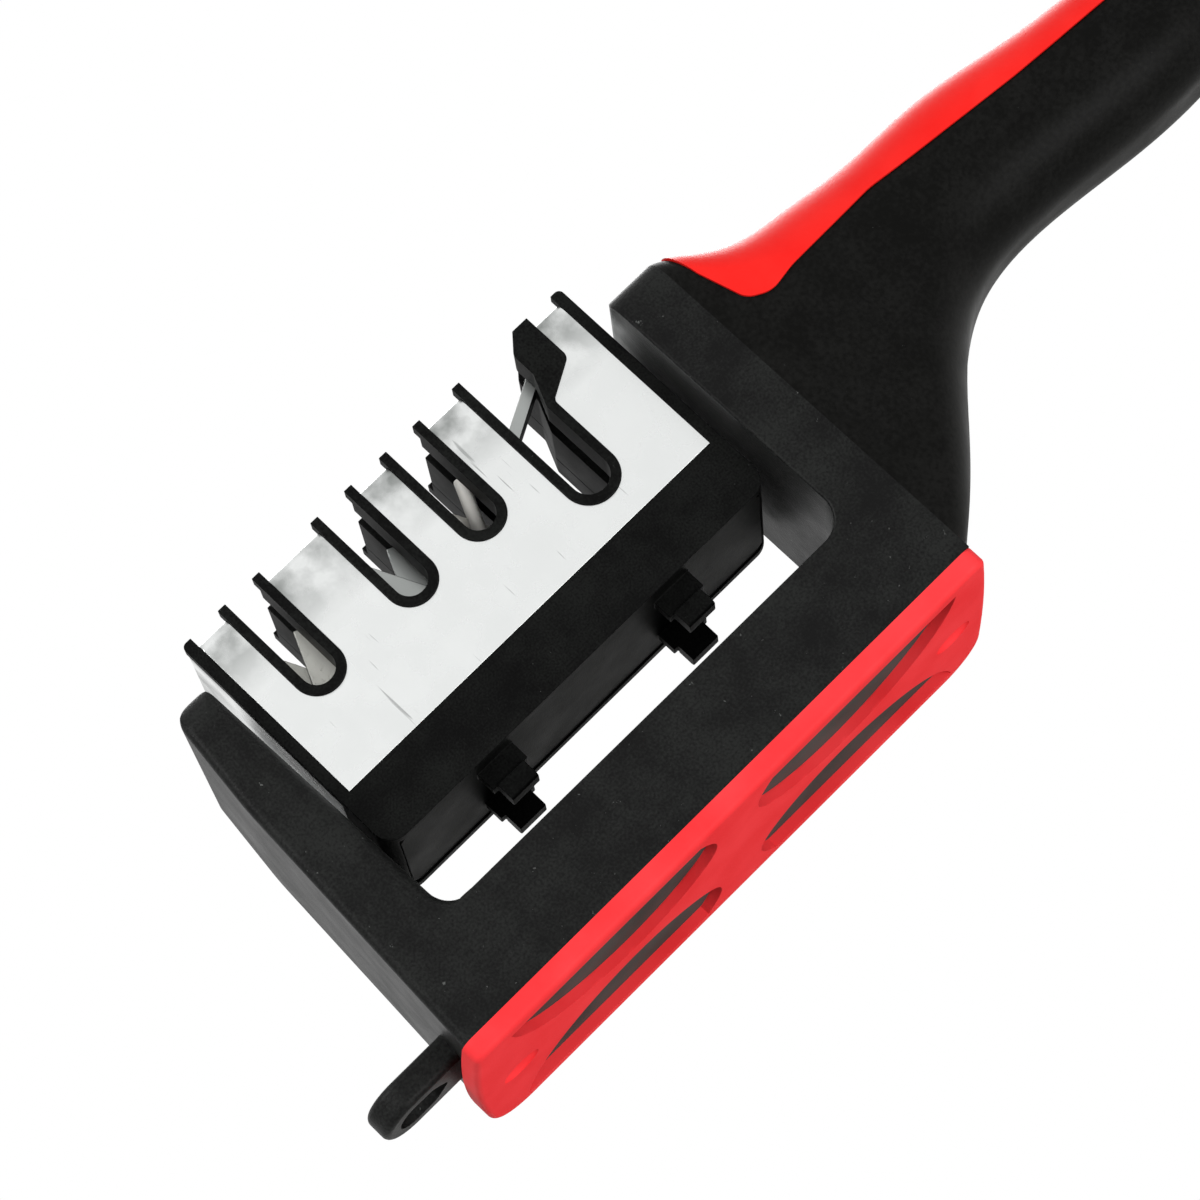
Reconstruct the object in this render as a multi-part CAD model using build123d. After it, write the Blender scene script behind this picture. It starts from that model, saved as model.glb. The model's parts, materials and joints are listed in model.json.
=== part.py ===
from build123d import *
from math import cos, radians, sin
import os

# Hand-held knife and scissor sharpener: a U-shaped frame with a handle on its right
# side, and a four-slot cartridge that lifts out of the frame. Sizes are millimetres.
# The origin is the centre of the sole's underside, +X runs towards the handle,
# the front faces -Y and +Z is up. The cartridge is drawn lifted clear of its seat.

os.makedirs("parts", exist_ok=True)

# Frame sizes
frame_depth = 46.0
frame_height = 73.4
rear_cover_depth = 6.0
shell_wall = 2.2
shoe_height = 3.5
bar_height = 16.6
bar_top_wall = 3.0
gap_shift = 2.05
left_post_foot = 13.5
left_post_crown = 7.1
left_post_drop = 0.5
left_post_draft = 1.5
left_post_bend = 2.2
left_bend_drop = 19.4
right_post_width = 9.8
gap_corner_radius = 5.0
left_crown_radius = 4.0
left_bend_radius = 60.0
inner_crown_radius = 1.9
right_crown_radius = 1.9
crown_slope = 0.3
post_top_radius = 5.0
outer_edge_radius = 1.5
inner_edge_radius = 0.5
front_roll = 3.8
front_roll_angles = (0, 30, 60, 90)
over = 2.0
full_round_share = 0.98

# Hanging loop sizes
loop_reach = 16.4
loop_width = 13.0
loop_thickness = 5.0
loop_rise = 2.7
loop_hole_width = 7.7
loop_hole_length = 10.4
loop_tip_wall = 3.0
loop_edge_radius = 1.2
loop_root = 1.0
loop_neck_share = 0.72
loop_neck_width_share = 0.86
loop_hole_round_shares = (0.9, 0.5, 0.3, 0.5, 0.9)

# Sole sizes
shoe_overhang = 0.2
shoe_left_bulge = 1.9
shoe_right_bulge = 0.9
shoe_floor = 1.8
shoe_front_radius = 2.2
shoe_back_radius = 8.5
shoe_rim = 3.4
shoe_edge_radius = 1.1
mat_clearance = 0.1
leaf_centre_gap = 6.6
leaf_side_rail = 3.2
leaf_web = 5.4
leaf_end_rail = 6.4
dimple_margin = 6.5
dimple_setback = 1.0
dimple_length = 7.4
dimple_width = 5.6
dimple_depth = 1.2
leaf_top_shares = (0.10, 0.46, 1.0)
leaf_inner_shares = (0.04, 0.22, 0.60, 0.88)
leaf_inner_depth_shares = (0.55, 0.93, 0.98, 0.58)

# Screw sizes
screw_shank_radius = 1.1
screw_head_radius = 2.3
screw_head_height = 1.4
screw_length = 11.0
screw_clearance = 0.1
screw_sink = 0.3
recess_width = 0.6
recess_length = 2.6
recess_depth = 0.8
boss_radius = 2.9

# Handle sizes
handle_length = 105.0
grip_thickness = 2.3
core_wall = 2.6
core_end_wall = 4.0
fit_gap = 0.1
tongue_height = 32.0
tongue_rise = 18.5
flange_margin = 5.0
handle_station_shares = (0.0, 0.07, 0.15, 0.24, 0.35, 0.52, 0.72, 0.90, 0.97, 1.0)
handle_top_shares = (1.0, 0.952, 0.921, 0.919, 0.911, 0.907, 0.856, 0.825, 0.798, 0.763)
handle_bottom_shares = (0.057, 0.136, 0.241, 0.369, 0.483, 0.522, 0.497, 0.493, 0.514, 0.552)
handle_width_shares = (1.0, 0.935, 0.850, 0.750, 0.660, 0.615, 0.610, 0.590, 0.500, 0.390)
handle_corner_shares = (0.22, 0.34, 0.50, 0.66, 0.80, 0.86, 0.86, 0.86, 0.86, 0.86)
strip_station_shares = (0.018, 0.034, 0.058, 0.095, 0.150, 0.335, 0.630, 0.900, 1.04)
strip_edge_shares = (1.02, 0.895, 0.782, 0.757, 0.774, 0.797, 0.756, 0.731, 0.724)
strip_bend_shares = (0.0, 0.02, 0.03, 0.05, 0.10, 0.15, 0.15, 0.15, 0.0)
strip_roof_share = 1.2
core_end_share = 0.96
hollow_end_share = 0.91
whole_share = 1.0

# Cartridge sizes
cartridge_lift = 15.2
cartridge_left_gap = 1.1
cartridge_right_gap = 1.6
cartridge_length = 83.6
cartridge_depth = 29.4
panel_height = 11.2
steel_height = 45.7
rim_height = 47.1
end_wall = 2.0
panel_wall = 1.8
carrier_wall = 1.6
steel_thickness = 0.6
steel_bend_radius = 2.0
panel_corner_radius = 3.6
crown_corner_radius = 1.0
steel_clearance = 0.05
end_tab_rise = 11.0
end_tab_side_gap = 0.6

# Slot sizes
knife_slot_width = 9.0
rim_width = 1.6
rim_proud = 0.5
rim_tip_depth = 2.3
knife_slot_drop = 22.4
liner_depth = 6.0
knife_place_shares = (0.149522, 0.391148, 0.571770)
scissor_place_share = 0.771531
scissor_slot_width = 10.0
scissor_slot_drop = 30.9
shoulder_drop = 13.0
shoulder_rise = 2.4
head_reach = 6.8
head_drop = 7.6
head_lip = 6.2
head_bend_radius = 1.6
neck_bend_radius = 1.2

# Sharpening element sizes
vertex_rise = 6.8
element_angle = 25.0
plate_width = 5.4
plate_thickness = 2.4
plate_above = 5.6
plate_below = 7.5
holder_spacing = 1.5
holder_foot_rise = 12.7
holder_roof_gap = 0.2
bar_angle = 28.0
bar_width = 2.1
bar_thickness = 3.0
bar_length = 20.0
bar_drop = 9.4

# Base plate and snap clip sizes
base_inset = 0.3
base_thickness = 1.8
clip_width = 7.5
clip_place_shares = (0.221292, 0.688995)
clip_neck_length = 3.3
clip_barb_length = 3.5
clip_leg_thickness = 2.6
clip_barb_step = 0.8
clip_leg_inset = 5.2
clip_barb_inset = 0.9
pocket_clearance = 0.35

# Places worked out from the sizes above
half_depth = frame_depth / 2
front_y = -half_depth
split_y = half_depth - rear_cover_depth
bar_top = shoe_height + bar_height
gap_width = cartridge_left_gap + cartridge_length + cartridge_right_gap
gap_left = gap_shift - gap_width / 2
gap_right = gap_shift + gap_width / 2
outer_left = gap_left - left_post_foot
outer_right = gap_right + right_post_width
left_crown_inner = gap_left - left_post_draft
left_crown_outer = left_crown_inner - left_post_crown
left_crown_middle = left_crown_inner - inner_crown_radius - crown_slope
left_crown_height = frame_height - left_post_drop
left_bend = left_crown_outer - left_post_bend
left_bend_height = frame_height - left_bend_drop
frame_middle = (outer_left + outer_right) / 2
half_length = (outer_right - outer_left) / 2
dimple_reach = half_length - dimple_margin
tongue_low = shoe_height + tongue_rise
tongue_high = tongue_low + tongue_height
tongue_half = half_depth / 2 + fit_gap


def block(x_low, x_high, y_low, y_high, z_low, z_high):
    """A plain box between two corners."""
    size = Box(x_high - x_low, y_high - y_low, z_high - z_low)
    return Pos((x_low + x_high) / 2, (y_low + y_high) / 2, (z_low + z_high) / 2) * size


def outline(points, radii):
    """A closed flat face whose corners are rounded by their own radii."""
    return make_face(FilletPolyline(*points, radius=radii, close=True))


def front_prism(face, y_low, y_high):
    """A face drawn in X and Z, carried from y_low to y_high."""
    return extrude(Plane.XZ.offset(-y_high) * face, amount=y_high - y_low)


def side_prism(face, x_low, x_high):
    """A face drawn in Y and Z, carried from x_low to x_high."""
    return extrude(Plane.YZ.offset(x_low) * face, amount=x_high - x_low)


def plan_prism(face, z_low, z_high):
    """A face drawn in X and Y, carried from z_low to z_high."""
    return extrude(Plane.XY.offset(z_low) * face, amount=z_high - z_low)


def rod_y(x, z, radius, y_low, y_high):
    """A round bar along Y."""
    return front_prism(Pos(x, z) * Circle(radius), y_low, y_high)


def screw(length):
    """A pan-head screw with a cross recess, head on Z zero, shank pointing up."""
    head = fillet(
        Cylinder(screw_head_radius, screw_head_height, align=(Align.CENTER, Align.CENTER, Align.MAX))
        .edges().filter_by(GeomType.CIRCLE).sort_by(Axis.Z)[:1],
        screw_head_height / 2,
    )
    shank = Cylinder(screw_shank_radius, length, align=(Align.CENTER, Align.CENTER, Align.MIN))
    tip = chamfer(shank.edges().filter_by(GeomType.CIRCLE).sort_by(Axis.Z)[-1:], screw_shank_radius / 2)
    recess = Box(recess_length, recess_width, recess_depth)
    recess += Box(recess_width, recess_length, recess_depth)
    return head + tip - Pos(0, 0, -screw_head_height + recess_depth / 2) * recess


def save(node, shape):
    """Write one named piece."""
    export_step(shape, "parts/" + node + ".step")


# Frame: the U outline, its hollow and the screw places
def frame_outline():
    """The front view of the frame; the slight slope on the left crown ends the outer rounding."""
    points = [
        (outer_left, shoe_height),
        (left_bend, left_bend_height),
        (left_crown_outer, left_crown_height),
        (left_crown_middle, left_crown_height),
        (left_crown_inner, left_crown_height - crown_slope),
        (gap_left, bar_top),
        (gap_right, bar_top),
        (gap_right, frame_height),
        (outer_right, frame_height),
        (outer_right, shoe_height),
    ]
    radii = [
        0,
        left_bend_radius,
        left_crown_radius,
        0,
        inner_crown_radius,
        gap_corner_radius,
        gap_corner_radius,
        right_crown_radius,
        0,
        0,
    ]
    return outline(points, radii)


def side_profile(inset):
    """The frame seen from its end, with rounded top edges, drawn in by inset."""
    half = half_depth - inset
    high = frame_height - inset
    profile = outline(
        [(-half, 0), (half, 0), (half, high), (-half, high)],
        [0, 0, post_top_radius - inset, post_top_radius - inset],
    )
    return side_prism(profile, outer_left - over, outer_right + over)


def rolled_edge():
    """The wide quarter round between the front face and the left post's inner wall."""
    sections = []
    for angle in front_roll_angles:
        out = front_roll * (1 - sin(radians(angle)))
        back = front_roll * (1 - cos(radians(angle)))
        section = outline(
            [
                (gap_left - left_post_draft - out, frame_height + over),
                (gap_left - out, bar_top),
                (gap_right, bar_top),
                (gap_right, frame_height + over),
            ],
            [0, gap_corner_radius, gap_corner_radius, 0],
        )
        sections.append(Plane.XZ.offset(-front_y - back) * section)
    return loft(sections)


def edge_near(shape, y_place, x_place, z_place):
    """The one edge on a front or back face whose middle lies nearest to a point."""
    edges = shape.edges().filter_by_position(Axis.Y, y_place - over / 9, y_place + over / 9)
    return sorted(edges, key=lambda e: abs(e.center().X - x_place) + abs(e.center().Z - z_place))[0]


def rounded_outline(shell, y_place):
    """Round the front or back edges of the U: wide outside, narrow round the gap."""
    outer = edge_near(shell, y_place, (outer_left + left_bend) / 2, left_bend_height / 2)
    shell = fillet(outer, outer_edge_radius)
    inner = edge_near(shell, y_place, gap_shift, bar_top)
    return fillet(inner, inner_edge_radius)


def frame_hollow(y_low, y_high):
    """The space inside the frame's walls."""
    floor = shoe_height + shell_wall
    roof = bar_top - bar_top_wall
    bar = block(outer_left + shell_wall, outer_right - shell_wall, y_low, y_high, floor, roof)
    left = outline(
        [
            (outer_left + shell_wall, floor),
            (left_bend + shell_wall, left_bend_height),
            (left_crown_outer + shell_wall, left_crown_height - 2 * shell_wall),
            (left_crown_inner - shell_wall, left_crown_height - 2 * shell_wall),
            (gap_left - shell_wall, floor),
        ],
        [0, 0, 0, 0, 0],
    )
    right = block(gap_right + shell_wall, outer_right - shell_wall, y_low, y_high, floor, frame_height)
    return (bar + front_prism(left, y_low, y_high) + right) & side_profile(shell_wall)


bar_middle = (shoe_height + bar_top) / 2
right_post_middle = (gap_right + outer_right) / 2
left_post_middle = (gap_left + left_crown_inner + outer_left + left_bend) / 4
post_middle_height = (bar_top + frame_height) / 2
flange_low = shoe_height + tongue_rise - flange_margin
flange_high = shoe_height + tongue_rise + tongue_height + flange_margin
screw_places = [
    (gap_left + gap_width / 8, bar_middle),
    (gap_shift, bar_middle),
    (gap_right - gap_width / 8, bar_middle),
    (left_post_middle, post_middle_height),
    (right_post_middle, flange_high + boss_radius + flange_margin),
    (right_post_middle, flange_low - boss_radius - flange_margin / 2),
]


def boss_columns(y_low, y_high):
    """Round columns that the housing screws run into."""
    columns = [rod_y(x, z, boss_radius, y_low, y_high) for x, z in screw_places]
    return columns[0] + columns[1:]


def screw_bores(y_low, y_high, radius):
    bores = [rod_y(x, z, radius, y_low, y_high) for x, z in screw_places]
    return bores[0] + bores[1:]


# Snap clip places on the cartridge, and the pockets for them in the bar
cartridge_bottom = bar_top + cartridge_lift
cartridge_left = gap_left + cartridge_left_gap
cartridge_right = cartridge_left + cartridge_length
clip_lefts = [cartridge_left + cartridge_length * share for share in clip_place_shares]
clip_middles = [clip_left + clip_width / 2 for clip_left in clip_lefts]
leg_outer = cartridge_depth / 2 - clip_leg_inset
leg_inner = leg_outer - clip_leg_thickness
barb_outer = leg_outer + clip_barb_step


def bar_pockets():
    """Windows in the bar's top wall, one for each leg of the snap clips."""
    pockets = []
    for middle in clip_middles:
        for side in (-1, 1):
            y_ends = sorted((side * (leg_inner - pocket_clearance), side * (barb_outer + pocket_clearance)))
            pockets.append(
                block(
                    middle - clip_width / 2 - pocket_clearance,
                    middle + clip_width / 2 + pocket_clearance,
                    y_ends[0],
                    y_ends[1],
                    bar_top - bar_top_wall - over,
                    bar_top + over,
                )
            )
    return pockets


def hanging_loop():
    """The flat loop on the left end, with a long hole that narrows towards the frame."""
    z_low = shoe_height + loop_rise
    half = loop_width / 2
    tip = outer_left - loop_reach
    plan = outline(
        [
            (tip, -half),
            (outer_left + loop_root, -half),
            (outer_left + loop_root, half),
            (tip, half),
        ],
        [half * full_round_share, 0, 0, half * full_round_share],
    )
    loop = plan_prism(plan, z_low, z_low + loop_thickness)
    flat_edges = loop.faces().filter_by(Axis.Z).edges().filter_by_position(
        Axis.X, tip - over, outer_left + loop_root / 2, inclusive=(True, True)
    )
    loop = fillet(flat_edges, loop_edge_radius)
    hole_tip = tip + loop_tip_wall
    hole_half = loop_hole_width / 2
    hole_neck = hole_tip + loop_hole_length * loop_neck_share
    hole = outline(
        [
            (hole_tip, -hole_half),
            (hole_neck, -hole_half * loop_neck_width_share),
            (hole_tip + loop_hole_length, 0),
            (hole_neck, hole_half * loop_neck_width_share),
            (hole_tip, hole_half),
        ],
        [hole_half * share for share in loop_hole_round_shares],
    )
    return loop - plan_prism(hole, z_low - over, z_low + loop_thickness + over)


def front_housing():
    shell = rounded_outline(front_prism(frame_outline(), front_y, split_y), front_y)
    shell = (shell & side_profile(0)) - rolled_edge()
    shell += hanging_loop()
    shell -= frame_hollow(front_y + shell_wall, split_y)
    shell += boss_columns(front_y + shell_wall / 2, split_y)
    shell -= screw_bores(split_y - screw_length, split_y + over, screw_shank_radius + screw_clearance)
    shell -= bar_pockets()
    shell -= block(
        outer_right - shell_wall - over / 2,
        outer_right + over,
        -tongue_half,
        split_y + over,
        tongue_low - fit_gap,
        tongue_high + fit_gap,
    )
    return shell


def rear_housing():
    cover = rounded_outline(front_prism(frame_outline(), split_y, half_depth), half_depth)
    cover &= side_profile(0)
    cover -= frame_hollow(split_y - over, half_depth - shell_wall)
    cover += boss_columns(split_y, half_depth - shell_wall / 2)
    cover -= screw_bores(split_y - over, half_depth + over, screw_shank_radius + screw_clearance)
    head_seat = half_depth - screw_head_height - screw_sink
    return cover - screw_bores(head_seat, half_depth + over, screw_head_radius + screw_clearance)


def housing_screws():
    head_seat = half_depth - screw_head_height - screw_sink
    bottom = split_y - screw_length + screw_clearance
    single = Rot(90, 0, 0) * screw(head_seat - bottom)
    return Compound(children=[Pos(x, head_seat, z) * single for x, z in screw_places])


# Handle: soft grip and red inlay round a rigid core
def handle_body(inset, end_share):
    """The handle's smooth outside, drawn in by inset and ended at a share of its length."""
    sections = []
    for place, station in enumerate(handle_station_shares):
        if station > end_share:
            break
        top = handle_top_shares[place]
        bottom = handle_bottom_shares[place]
        width = handle_width_shares[place]
        corner = handle_corner_shares[place]
        high = frame_height * top - inset
        low = frame_height * bottom + inset
        across = frame_depth * width - 2 * inset
        radius = min(across, high - low) / 2 * corner
        section = Pos(0, (high + low) / 2) * RectangleRounded(across, high - low, radius)
        sections.append(Plane.YZ.offset(outer_right + handle_length * station) * section)
    return loft(sections)


def strip_region():
    """The side view of the red inlay, cut right through the grip."""
    points = [
        (outer_right + handle_length * station, frame_height * edge)
        for station, edge in zip(strip_station_shares, strip_edge_shares)
    ]
    points.append((points[-1][0], frame_height * strip_roof_share))
    radii = [handle_length * share for share in strip_bend_shares] + [0]
    return front_prism(outline(points, radii), -half_depth - over, half_depth + over)


def handle_core():
    hollow = handle_body(grip_thickness + core_wall, hollow_end_share)
    hollow -= block(
        outer_right - over,
        outer_right + core_end_wall,
        -half_depth,
        half_depth,
        0,
        frame_height + over,
    )
    core = handle_body(grip_thickness + fit_gap, core_end_share) - hollow
    core += block(
        outer_right - shell_wall - over / 2,
        outer_right + core_end_wall / 2,
        -tongue_half + fit_gap,
        split_y - fit_gap,
        tongue_low,
        tongue_high,
    )
    core += block(
        gap_right + shell_wall + fit_gap,
        outer_right - shell_wall - fit_gap,
        -tongue_half + fit_gap,
        split_y - fit_gap,
        flange_low,
        flange_high,
    )
    return core


# Sole: red shoe with leaf windows over a dark mat
def shoe_plan():
    left = outer_left - shoe_overhang
    right = outer_right + shoe_overhang
    edge = Line((left, front_y), (right, front_y))
    edge += ThreePointArc((right, front_y), (right + shoe_right_bulge, 0), (right, half_depth))
    edge += Line((right, half_depth), (left, half_depth))
    edge += ThreePointArc((left, half_depth), (left - shoe_left_bulge, 0), (left, front_y))
    corners = make_face(edge).vertices().sort_by(Axis.Y)
    plan = fillet(corners[:2], shoe_front_radius)
    return fillet(plan.vertices().sort_by(Axis.Y)[-2:], shoe_back_radius)


def leaf_window(side, end):
    """One leaf: a blunt end by the middle, straight along its rail, pointed at the far end."""
    length = half_length - leaf_end_rail - leaf_centre_gap / 2
    depth = half_depth - leaf_side_rail - leaf_web / 2
    rail = []
    for share in leaf_top_shares:
        rail.append((leaf_centre_gap / 2 + length * share, half_depth - leaf_side_rail))
    inner = []
    for share, depth_share in zip(leaf_inner_shares, leaf_inner_depth_shares):
        reach = depth * depth_share
        inner.append((leaf_centre_gap / 2 + length * share, half_depth - leaf_side_rail - reach))
    leaf = make_face(Polyline(*rail) + Spline(rail[-1], *reversed(inner), rail[0]))
    leaf = mirror(leaf, Plane.XZ) if side < 0 else leaf
    return mirror(leaf, Plane.YZ) if end < 0 else leaf


def base_shoe():
    shoe = plan_prism(shoe_plan(), 0, shoe_height)
    under = shoe.faces().sort_by(Axis.Z)[0].edges()
    shoe = fillet(under, shoe_edge_radius)
    shoe -= block(
        outer_left + shoe_rim,
        outer_right - shoe_rim,
        front_y + shoe_rim / 2,
        half_depth - shoe_rim / 2,
        shoe_floor,
        shoe_height + over,
    )
    for side in (-1, 1):
        for end in (-1, 1):
            shoe -= Pos(frame_middle, 0) * plan_prism(leaf_window(side, end), -over, shoe_floor + over)
    for end in (-1, 1):
        stretch = (dimple_length / 2 / dimple_depth, dimple_width / 2 / dimple_depth, 1)
        dimple = scale(Sphere(dimple_depth), by=stretch)
        shoe -= Pos(frame_middle + end * dimple_reach, dimple_setback, 0) * dimple
    return shoe


def sole_mat():
    return block(
        outer_left + shoe_rim + mat_clearance,
        outer_right - shoe_rim - mat_clearance,
        front_y + shoe_rim / 2 + mat_clearance,
        half_depth - shoe_rim / 2 - mat_clearance,
        shoe_floor,
        shoe_height,
    )


# Cartridge: slot outlines shared by the rims, the steel cover and the holders
panel_y = -cartridge_depth / 2
steel_top = cartridge_bottom + steel_height
rim_top = cartridge_bottom + rim_height
inner_left = cartridge_left + end_wall
inner_right = cartridge_right - end_wall
knife_middles = [cartridge_left + cartridge_length * share for share in knife_place_shares]
scissor_middle = cartridge_left + cartridge_length * scissor_place_share
holder_width = knife_middles[2] - knife_middles[1] - holder_spacing


def knife_slot(middle, inset, top):
    """A straight slot with a round bottom, drawn in by inset."""
    half = knife_slot_width / 2 - inset
    low = rim_top - knife_slot_drop + inset
    points = [(middle - half, low), (middle + half, low), (middle + half, top), (middle - half, top)]
    return outline(points, [half * full_round_share, half * full_round_share, 0, 0])


def scissor_slot(inset, top):
    """The scissor slot: straight on the left, stepped out to the right below its top."""
    half = scissor_slot_width / 2 - inset
    low = rim_top - scissor_slot_drop + inset
    left = scissor_middle - half
    right = scissor_middle + half
    shoulder = rim_top - shoulder_drop
    full_round = half * full_round_share
    if inset > rim_width / 2:
        points = [
            (left, low),
            (right, low),
            (right, shoulder),
            (right + shoulder_rise, rim_top - head_drop),
            (right + shoulder_rise, rim_top - head_lip / 2),
            (right + head_reach - rim_width, rim_top),
            (right + head_reach - rim_width, top),
            (left, top),
        ]
        radii = [full_round, full_round, neck_bend_radius, head_bend_radius, head_bend_radius, 0, 0, 0]
    else:
        points = [
            (left, low),
            (right, low),
            (right, shoulder),
            (right + head_reach, rim_top - head_drop - rim_width),
            (right + head_reach, top),
            (left, top),
        ]
        radii = [full_round, full_round, neck_bend_radius, head_bend_radius, 0, 0]
    return outline(points, radii)


def slot_faces(inset, top):
    faces = [knife_slot(middle, inset, top) for middle in knife_middles]
    return faces + [scissor_slot(inset, top)]


def slot_cut(inset, y_low, y_high):
    """All four slots as one cutter, open at the top."""
    cuts = [front_prism(face, y_low, y_high) for face in slot_faces(inset, rim_top + over)]
    return cuts[0] + cuts[1:]


def end_tabs(clearance, high):
    """The steel sheet's turned ends, let into the carrier's end walls; clearance grows the recess."""
    half = cartridge_depth / 2 - end_tab_side_gap - carrier_wall + clearance
    low = cartridge_bottom + end_tab_rise - clearance
    roof_low = steel_top - steel_thickness - clearance
    tabs = []
    for side, face, inner in ((-1, cartridge_left, inner_left), (1, cartridge_right, inner_right)):
        across = sorted((face + side * clearance, face - side * (steel_thickness + clearance)))
        roof = sorted((face + side * clearance, inner - side * over / 2))
        tabs.append(block(*across, -half, half, low, high) + block(*roof, -half, half, roof_low, high))
    return tabs


def carrier_half():
    """The front half of the carrier: ends, lower panel, inner skin, roof and slot rims."""
    skin_y = panel_y + steel_thickness + steel_clearance
    roof_z = steel_top - steel_thickness - steel_clearance
    panel_top = cartridge_bottom + panel_height
    ends = block(cartridge_left, cartridge_right, panel_y, 0, cartridge_bottom, rim_top)
    round_low = ends.edges().filter_by(Axis.Y).sort_by(Axis.Z)[:2]
    ends = fillet(round_low, panel_corner_radius)
    ends = fillet(ends.edges().filter_by(Axis.Y).sort_by(Axis.Z)[-2:], crown_corner_radius)
    ends -= block(inner_left, inner_right, panel_y - over, over, panel_top, rim_top + over)
    low = cartridge_bottom - over
    ends -= block(inner_left, inner_right, panel_y + panel_wall, over, low, panel_top + over)
    for tab in end_tabs(steel_clearance, rim_top + over):
        ends -= tab
    inner_skin = outline(
        [
            (skin_y, panel_top - over),
            (skin_y, roof_z),
            (0, roof_z),
            (0, roof_z - carrier_wall),
            (skin_y + carrier_wall, roof_z - carrier_wall),
            (skin_y + carrier_wall, panel_top - over),
        ],
        [0, steel_bend_radius - steel_thickness, 0, 0, 0, 0],
    )
    shell = ends + side_prism(inner_skin, inner_left, inner_right)
    shell -= slot_cut(0, panel_y + liner_depth, over)
    rim_front = panel_y - rim_proud
    rims = [front_prism(face, rim_front, panel_y + rim_tip_depth) for face in slot_faces(0, rim_top)]
    liners = [front_prism(face, panel_y, panel_y + liner_depth) for face in slot_faces(0, steel_top)]
    shell = shell + rims + liners
    shell -= slot_cut(rim_width, panel_y - over, panel_y + liner_depth + over)
    return shell


base_low = cartridge_bottom + base_inset
base_top = base_low + base_thickness


def steel_cover():
    """Stainless sheet folded over the carrier, with every slot cut through it."""
    half = cartridge_depth / 2
    low = cartridge_bottom + panel_height + steel_clearance
    outer = outline(
        [(-half, low - over), (half, low - over), (half, steel_top), (-half, steel_top)],
        [0, 0, steel_bend_radius, steel_bend_radius],
    )
    inside = half - steel_thickness
    inner = outline(
        [
            (-inside, low - 2 * over),
            (inside, low - 2 * over),
            (inside, steel_top - steel_thickness),
            (-inside, steel_top - steel_thickness),
        ],
        [0, 0, steel_bend_radius - steel_thickness, steel_bend_radius - steel_thickness],
    )
    sheet = side_prism(outer - inner, inner_left + steel_clearance, inner_right - steel_clearance)
    sheet &= block(cartridge_left, cartridge_right, -half, half, low, rim_top)
    sheet -= slot_cut(-steel_clearance, -half - over, half + over)
    return sheet + end_tabs(0, steel_top)


def snap_leg(middle, side):
    """One leg of a snap clip with its barb turned outwards."""
    neck_low = cartridge_bottom - clip_neck_length
    barb_low = neck_low - clip_barb_length
    faces = []
    for reach, high in ((leg_outer, base_low + base_thickness / 2), (barb_outer, neck_low)):
        y_ends = sorted((side * leg_inner, side * reach))
        faces.append((y_ends[0], y_ends[1], barb_low, high))
    neck = block(middle - clip_width / 2, middle + clip_width / 2, *faces[0])
    barb = block(
        middle - clip_width / 2 + clip_barb_inset, middle + clip_width / 2 - clip_barb_inset, *faces[1]
    )
    barb = chamfer(barb.edges().filter_by(Axis.X).group_by(Axis.Z)[0], clip_barb_step / 2)
    neck -= block(
        middle - clip_width / 2 - over,
        middle - clip_width / 2 + clip_barb_inset,
        -half_depth,
        half_depth,
        barb_low - over,
        neck_low,
    )
    neck -= block(
        middle + clip_width / 2 - clip_barb_inset,
        middle + clip_width / 2 + over,
        -half_depth,
        half_depth,
        barb_low - over,
        neck_low,
    )
    return neck + barb


def cartridge_base():
    inside = cartridge_depth / 2 - panel_wall - fit_gap
    plate = block(inner_left + fit_gap, inner_right - fit_gap, -inside, inside, base_low, base_top)
    plate = chamfer(plate.edges().filter_by(Axis.Z), panel_corner_radius - end_wall)
    for middle in clip_middles:
        for side in (-1, 1):
            plate += snap_leg(middle, side)
    return plate


# Sharpening elements and the holders behind the front rims
plate_front = panel_y + liner_depth + fit_gap
plate_step = plate_thickness + fit_gap
holder_front = plate_front + 2 * plate_step
holder_back = -panel_y - liner_depth - fit_gap
vertex_z = rim_top - knife_slot_drop + rim_width + vertex_rise
holder_top = steel_top - steel_thickness - carrier_wall - holder_roof_gap - steel_clearance


def holder(middle, face):
    """A black block with the slot running through it and a collar that fills the roof cut."""
    half = holder_width / 2
    low = cartridge_bottom + holder_foot_rise
    body = block(middle - half, middle + half, holder_front, holder_back, low, holder_top)
    collar = front_prism(face(fit_gap, steel_top), holder_front, holder_back)
    cut = front_prism(face(rim_width, rim_top + over), holder_front - over, holder_back + over)
    return body + collar - cut


def knife_holder(middle):
    return holder(middle, lambda inset, top: knife_slot(middle, inset, top))


def slanted(shape, middle, y_place, side):
    """Lean a piece whose own edge is on X zero so that edge passes through the slot's vertex."""
    return Pos(middle, y_place, vertex_z) * Rot(0, side * element_angle, 0) * shape


def crossing_plate(middle, side, layer):
    """A flat plate; side is 1 on the right of the knife and -1 on its left."""
    length = plate_above + plate_below
    plate = Box(plate_width, plate_thickness, length)
    plate = Pos(side * plate_width / 2, 0, (plate_above - plate_below) / 2) * plate
    y_place = plate_front + plate_thickness / 2 + layer * plate_step
    return slanted(plate, middle, y_place, side)


def crossing_rod(middle, side, layer):
    length = plate_above + plate_below
    radius = plate_thickness / 2
    rod = fillet(Cylinder(radius, length).edges(), radius / 4)
    rod = Pos(side * radius, 0, (plate_above - plate_below) / 2) * rod
    y_place = plate_front + plate_thickness / 2 + layer * plate_step
    return slanted(rod, middle, y_place, side)


def scissor_bar():
    bar = Box(bar_length, bar_thickness, bar_width)
    bar = chamfer(bar.edges().filter_by(Axis.Y), bar_width / 8)
    y_place = plate_front + bar_thickness / 2 + fit_gap
    return Pos(scissor_middle + fit_gap, y_place, rim_top - bar_drop) * Rot(0, -bar_angle, 0) * bar


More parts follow.
